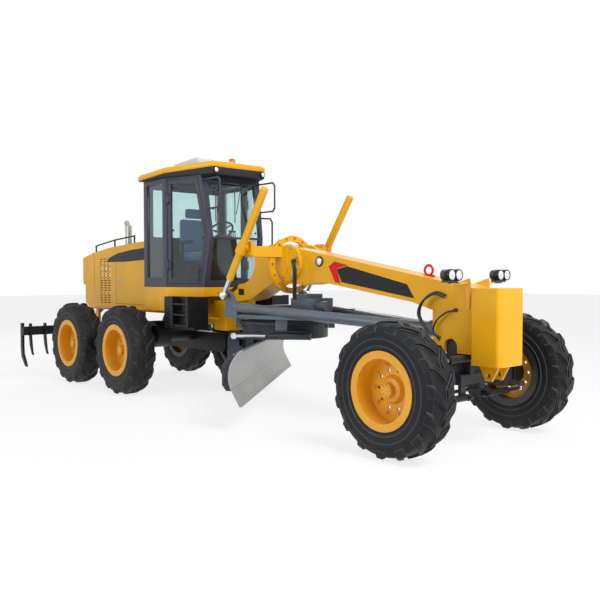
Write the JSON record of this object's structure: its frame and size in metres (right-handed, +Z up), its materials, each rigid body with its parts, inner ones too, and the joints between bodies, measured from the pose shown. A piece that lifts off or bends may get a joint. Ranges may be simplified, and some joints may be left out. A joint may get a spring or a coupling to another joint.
{
  "type": "motor grader",
  "caption": "Yellow six-wheel motor grader with a charcoal cab, an articulated frame, a turned silver blade under its long front beam and a ripper behind.",
  "frame": {"origin": "on the ground under the articulation pin, on the centreline of the machine", "axes": "+X forward, +Y to the left of the machine, +Z up"},
  "size_m": [9.269, 2.8973, 3.325],
  "materials": {
    "black_paint": "satin",
    "cab_glass": "clear",
    "cab_plastic": "matte",
    "cast_grey": "matte",
    "charcoal_paint": "satin",
    "chassis_grey": "satin",
    "chrome_rod": "polished",
    "exhaust_steel": "satin",
    "slate_paint": "satin",
    "tyre_rubber": "matte",
    "wheel_yellow": "satin",
    "worn_steel": "satin",
    "yellow_paint": "glossy"
  },
  "bodies": {
    "rear_body": {"rear_frame": "yellow_paint", "tandem_axle": "black_paint", "hood": "yellow_paint", "engine": "cast_grey", "exhaust": "exhaust_steel", "cab_frame": "charcoal_paint", "cab_roof": "yellow_paint", "cab_glass": "cab_glass", "cab_interior": "cab_plastic", "steps_and_rails": "charcoal_paint", "side_tanks": "black_paint"},
    "front_body": {"front_frame": "yellow_paint", "saddle": "yellow_paint", "front_axle": "chassis_grey", "front_lamps": "yellow_paint"},
    "lean_bracket_left": {"lean_bracket_left": "wheel_yellow"},
    "lean_bracket_right": {"lean_bracket_right": "wheel_yellow"},
    "lean_bar": {"lean_bar": "chassis_grey"},
    "lean_rod": {"lean_rod": "chrome_rod"},
    "knuckle_left": {"knuckle_left": "wheel_yellow"},
    "knuckle_right": {"knuckle_right": "wheel_yellow"},
    "tie_rod_studs": {"tie_rod_studs": "worn_steel"},
    "tie_rod": {"tie_rod": "chassis_grey"},
    "steering_barrel_left": {"steering_barrel_left": "chassis_grey"},
    "steering_barrel_right": {"steering_barrel_right": "chassis_grey"},
    "steering_rod_left": {"steering_rod_left": "chrome_rod"},
    "steering_rod_right": {"steering_rod_right": "chrome_rod"},
    "artic_barrel_left": {"artic_barrel_left": "chassis_grey"},
    "artic_barrel_right": {"artic_barrel_right": "chassis_grey"},
    "artic_rod_left": {"artic_rod_left": "chrome_rod"},
    "artic_rod_right": {"artic_rod_right": "chrome_rod"},
    "drawbar": {"drawbar": "slate_paint"},
    "pitch_barrel": {"pitch_barrel": "slate_paint"},
    "pitch_rod": {"pitch_rod": "chrome_rod"},
    "blade_carriage": {"blade_carriage": "slate_paint"},
    "lift_barrel_left": {"lift_barrel_left": "yellow_paint"},
    "lift_barrel_right": {"lift_barrel_right": "yellow_paint"},
    "lift_rod_left": {"lift_rod_left": "chrome_rod"},
    "lift_rod_right": {"lift_rod_right": "chrome_rod"},
    "ripper": {"ripper": "black_paint"},
    "ripper_barrel": {"ripper_barrel": "black_paint"},
    "ripper_rod": {"ripper_rod": "chrome_rod"},
    "door_left": {"door_left": "charcoal_paint"},
    "door_right": {"door_right": "charcoal_paint"},
    "circle_body": {"circle": "slate_paint"},
    "blade": {"mouldboard": "worn_steel", "cutting_edge": "worn_steel", "shift_rod": "chrome_rod"},
    "wheel_front_left": {"tyre_front_left": "tyre_rubber", "rim_front_left": "wheel_yellow"},
    "wheel_front_right": {"tyre_front_right": "tyre_rubber", "rim_front_right": "wheel_yellow"},
    "wheel_mid_left": {"tyre_mid_left": "tyre_rubber", "rim_mid_left": "wheel_yellow"},
    "wheel_mid_right": {"tyre_mid_right": "tyre_rubber", "rim_mid_right": "wheel_yellow"},
    "wheel_rear_left": {"tyre_rear_left": "tyre_rubber", "rim_rear_left": "wheel_yellow"},
    "wheel_rear_right": {"tyre_rear_right": "tyre_rubber", "rim_rear_right": "wheel_yellow"}
  },
  "joints": [
    {"name": "articulation", "type": "hinge", "parent": "rear_body", "child": "front_body", "pos_m": [0, 0, 1.137], "axis": [0, 0, 1], "range_deg": [-27, 8]},
    {"name": "artic_barrel_left_swing", "type": "hinge", "parent": "rear_body", "child": "artic_barrel_left", "pos_m": [-0.76, 0.33, 1.05], "axis": [0, 0, 1], "range_deg": [-4, 4]},
    {"name": "artic_rod_left_slide", "type": "slide", "parent": "artic_barrel_left", "child": "artic_rod_left", "axis": [0.9999, 0.0122, 0], "range_m": [-0.17, 0.17]},
    {"name": "artic_barrel_right_swing", "type": "hinge", "parent": "rear_body", "child": "artic_barrel_right", "pos_m": [-0.76, -0.33, 1.05], "axis": [0, 0, 1], "range_deg": [-4, 4]},
    {"name": "artic_rod_right_slide", "type": "slide", "parent": "artic_barrel_right", "child": "artic_rod_right", "axis": [0.9999, -0.0122, 0], "range_m": [-0.17, 0.17]},
    {"name": "wheel_lean", "type": "hinge", "parent": "front_body", "child": "lean_bracket_left", "pos_m": [4.05, 0.62, 0.64], "axis": [1, 0, 0], "range_deg": [-17, 17]},
    {"name": "wheel_lean_right", "type": "hinge", "parent": "front_body", "child": "lean_bracket_right", "pos_m": [4.05, -0.62, 0.64], "axis": [1, 0, 0], "range_deg": [-17.5, 17.5]},
    {"name": "lean_bar_swing", "type": "hinge", "parent": "lean_bracket_left", "child": "lean_bar", "pos_m": [3.894, 0.62, 0.86], "axis": [1, 0, 0], "range_deg": [-17.5, 17.5]},
    {"name": "lean_rod_slide", "type": "slide", "parent": "front_body", "child": "lean_rod", "axis": [0, 1, 0], "range_m": [-0.07, 0.07]},
    {"name": "steering", "type": "hinge", "parent": "lean_bracket_left", "child": "knuckle_left", "pos_m": [4.05, 0.79, 0.65], "axis": [0, 0, 1], "range_deg": [-40, 40]},
    {"name": "steering_right", "type": "hinge", "parent": "lean_bracket_right", "child": "knuckle_right", "pos_m": [4.05, -0.79, 0.65], "axis": [0, 0, 1], "range_deg": [-45.5, 45.5]},
    {"name": "tie_stud_turn", "type": "hinge", "parent": "knuckle_left", "child": "tie_rod_studs", "pos_m": [3.83, 0.79, 0.455], "axis": [0, 0, 1], "range_deg": [-45.5, 45.5]},
    {"name": "tie_rod_swing", "type": "hinge", "parent": "tie_rod_studs", "child": "tie_rod", "pos_m": [3.83, 0.79, 0.455], "axis": [1, 0, 0], "range_deg": [-17.5, 17.5]},
    {"name": "steering_barrel_left_swing", "type": "hinge", "parent": "front_body", "child": "steering_barrel_left", "pos_m": [4.25, 0.16, 0.49], "axis": [1, 0, 0], "range_deg": [-6, 6]},
    {"name": "steering_rod_left_slide", "type": "slide", "parent": "steering_barrel_left", "child": "steering_rod_left", "axis": [0, 1, 0], "range_m": [-0.15, 0.15]},
    {"name": "steering_barrel_right_swing", "type": "hinge", "parent": "front_body", "child": "steering_barrel_right", "pos_m": [4.25, -0.16, 0.49], "axis": [1, 0, 0], "range_deg": [-6, 6]},
    {"name": "steering_rod_right_slide", "type": "slide", "parent": "steering_barrel_right", "child": "steering_rod_right", "axis": [0, 1, 0], "range_m": [-0.15, 0.15]},
    {"name": "wheel_front_left_spin", "type": "hinge", "parent": "knuckle_left", "child": "wheel_front_left", "pos_m": [4.05, 1.01, 0.63], "axis": [0, 1, 0], "continuous": true},
    {"name": "wheel_front_right_spin", "type": "hinge", "parent": "knuckle_right", "child": "wheel_front_right", "pos_m": [4.05, -1.01, 0.63], "axis": [0, 1, 0], "continuous": true},
    {"name": "wheel_mid_left_spin", "type": "hinge", "parent": "rear_body", "child": "wheel_mid_left", "pos_m": [-0.97, 1.01, 0.63], "axis": [0, 1, 0], "continuous": true},
    {"name": "wheel_mid_right_spin", "type": "hinge", "parent": "rear_body", "child": "wheel_mid_right", "pos_m": [-0.97, -1.01, 0.63], "axis": [0, 1, 0], "continuous": true},
    {"name": "wheel_rear_left_spin", "type": "hinge", "parent": "rear_body", "child": "wheel_rear_left", "pos_m": [-2.53, 1.01, 0.63], "axis": [0, 1, 0], "continuous": true},
    {"name": "wheel_rear_right_spin", "type": "hinge", "parent": "rear_body", "child": "wheel_rear_right", "pos_m": [-2.53, -1.01, 0.63], "axis": [0, 1, 0], "continuous": true},
    {"name": "drawbar_lift", "type": "hinge", "parent": "front_body", "child": "drawbar", "pos_m": [3.76, 0, 1.12], "axis": [0, 1, 0], "range_deg": [-12, 1.2]},
    {"name": "lift_barrel_left_swing", "type": "hinge", "parent": "front_body", "child": "lift_barrel_left", "pos_m": [1.38, 0.7, 2], "axis": [0, 1, 0], "range_deg": [-20, 20]},
    {"name": "lift_rod_left_slide", "type": "slide", "parent": "lift_barrel_left", "child": "lift_rod_left", "axis": [-0.5547, 0, -0.8321], "range_m": [-0.15, 0.6]},
    {"name": "lift_barrel_right_swing", "type": "hinge", "parent": "front_body", "child": "lift_barrel_right", "pos_m": [1.38, -0.7, 2], "axis": [0, 1, 0], "range_deg": [-20, 20]},
    {"name": "lift_rod_right_slide", "type": "slide", "parent": "lift_barrel_right", "child": "lift_rod_right", "axis": [-0.5547, 0, -0.8321], "range_m": [-0.15, 0.6]},
    {"name": "circle_turn", "type": "hinge", "parent": "drawbar", "child": "circle_body", "pos_m": [1.37, 0, 1], "axis": [0, 0, -1], "range_deg": [-4, 270]},
    {"name": "blade_pitch", "type": "hinge", "parent": "circle_body", "child": "blade_carriage", "pos_m": [0.94736, -0.36739, 0.48], "axis": [-0.6561, 0.7547, 0], "range_deg": [-2, 35]},
    {"name": "blade_side_shift", "type": "slide", "parent": "blade_carriage", "child": "blade", "axis": [-0.6561, 0.7547, 0], "range_m": [-0.65, 0.25]},
    {"name": "pitch_barrel_swing", "type": "hinge", "parent": "circle_body", "child": "pitch_barrel", "pos_m": [2.06715, -0.26849, 0.955], "axis": [-0.6561, 0.7547, 0], "range_deg": [-30, 30]},
    {"name": "pitch_rod_slide", "type": "slide", "parent": "pitch_barrel", "child": "pitch_rod", "axis": [-0.7547, -0.6561, 0], "range_m": [-0.45, 0.45]},
    {"name": "ripper_lift", "type": "hinge", "parent": "rear_body", "child": "ripper", "pos_m": [-3.39, 0, 0.8], "axis": [0, 1, 0], "range_deg": [-10, 20]},
    {"name": "ripper_barrel_swing", "type": "hinge", "parent": "rear_body", "child": "ripper_barrel", "pos_m": [-3.33, 0, 1.29], "axis": [0, 1, 0], "range_deg": [-25, 25]},
    {"name": "ripper_rod_slide", "type": "slide", "parent": "ripper_barrel", "child": "ripper_rod", "axis": [-0.9039, 0, -0.4277], "range_m": [-0.3, 0.4]},
    {"name": "door_left_hinge", "type": "hinge", "parent": "rear_body", "child": "door_left", "pos_m": [-0.31225, 0.6924, 2.25], "axis": [0, 0, 1], "range_deg": [0, 90]},
    {"name": "door_right_hinge", "type": "hinge", "parent": "rear_body", "child": "door_right", "pos_m": [-0.31225, -0.6924, 2.25], "axis": [0, 0, 1], "range_deg": [-90, 0]}
  ],
  "couplings": [
    {"joint": "artic_barrel_left_swing", "follows": "articulation", "ratio": 0.06},
    {"joint": "artic_rod_left_slide", "follows": "articulation", "m_per_rad": -0.33},
    {"joint": "artic_barrel_right_swing", "follows": "articulation", "ratio": 0.06},
    {"joint": "artic_rod_right_slide", "follows": "articulation", "m_per_rad": 0.33},
    {"joint": "wheel_lean_right", "follows": "wheel_lean", "ratio": 1},
    {"joint": "lean_bar_swing", "follows": "wheel_lean", "ratio": -1},
    {"joint": "lean_rod_slide", "follows": "wheel_lean", "m_per_rad": -0.22},
    {"joint": "steering_right", "follows": "steering", "ratio": 1},
    {"joint": "tie_stud_turn", "follows": "steering", "ratio": -1},
    {"joint": "tie_rod_swing", "follows": "wheel_lean", "ratio": -0.785},
    {"joint": "steering_barrel_left_swing", "follows": "wheel_lean", "ratio": 0.2659},
    {"joint": "steering_rod_left_slide", "follows": "steering", "m_per_rad": 0.18},
    {"joint": "steering_barrel_right_swing", "follows": "wheel_lean", "ratio": 0.2659},
    {"joint": "steering_rod_right_slide", "follows": "steering", "m_per_rad": 0.18},
    {"joint": "wheel_rear_left_spin", "follows": "wheel_mid_left_spin", "ratio": 1},
    {"joint": "wheel_rear_right_spin", "follows": "wheel_mid_right_spin", "ratio": 1},
    {"joint": "lift_barrel_left_swing", "follows": "drawbar_lift", "ratio": 1.2759},
    {"joint": "lift_rod_left_slide", "follows": "drawbar_lift", "m_per_rad": -2.5203},
    {"joint": "lift_barrel_right_swing", "follows": "drawbar_lift", "ratio": 1.2759},
    {"joint": "lift_rod_right_slide", "follows": "drawbar_lift", "m_per_rad": -2.5203},
    {"joint": "pitch_barrel_swing", "follows": "blade_pitch", "ratio": -0.29067},
    {"joint": "pitch_rod_slide", "follows": "blade_pitch", "m_per_rad": -0.41844},
    {"joint": "ripper_barrel_swing", "follows": "ripper_lift", "ratio": 0.77456},
    {"joint": "ripper_rod_slide", "follows": "ripper_lift", "m_per_rad": -0.43783}
  ]
}
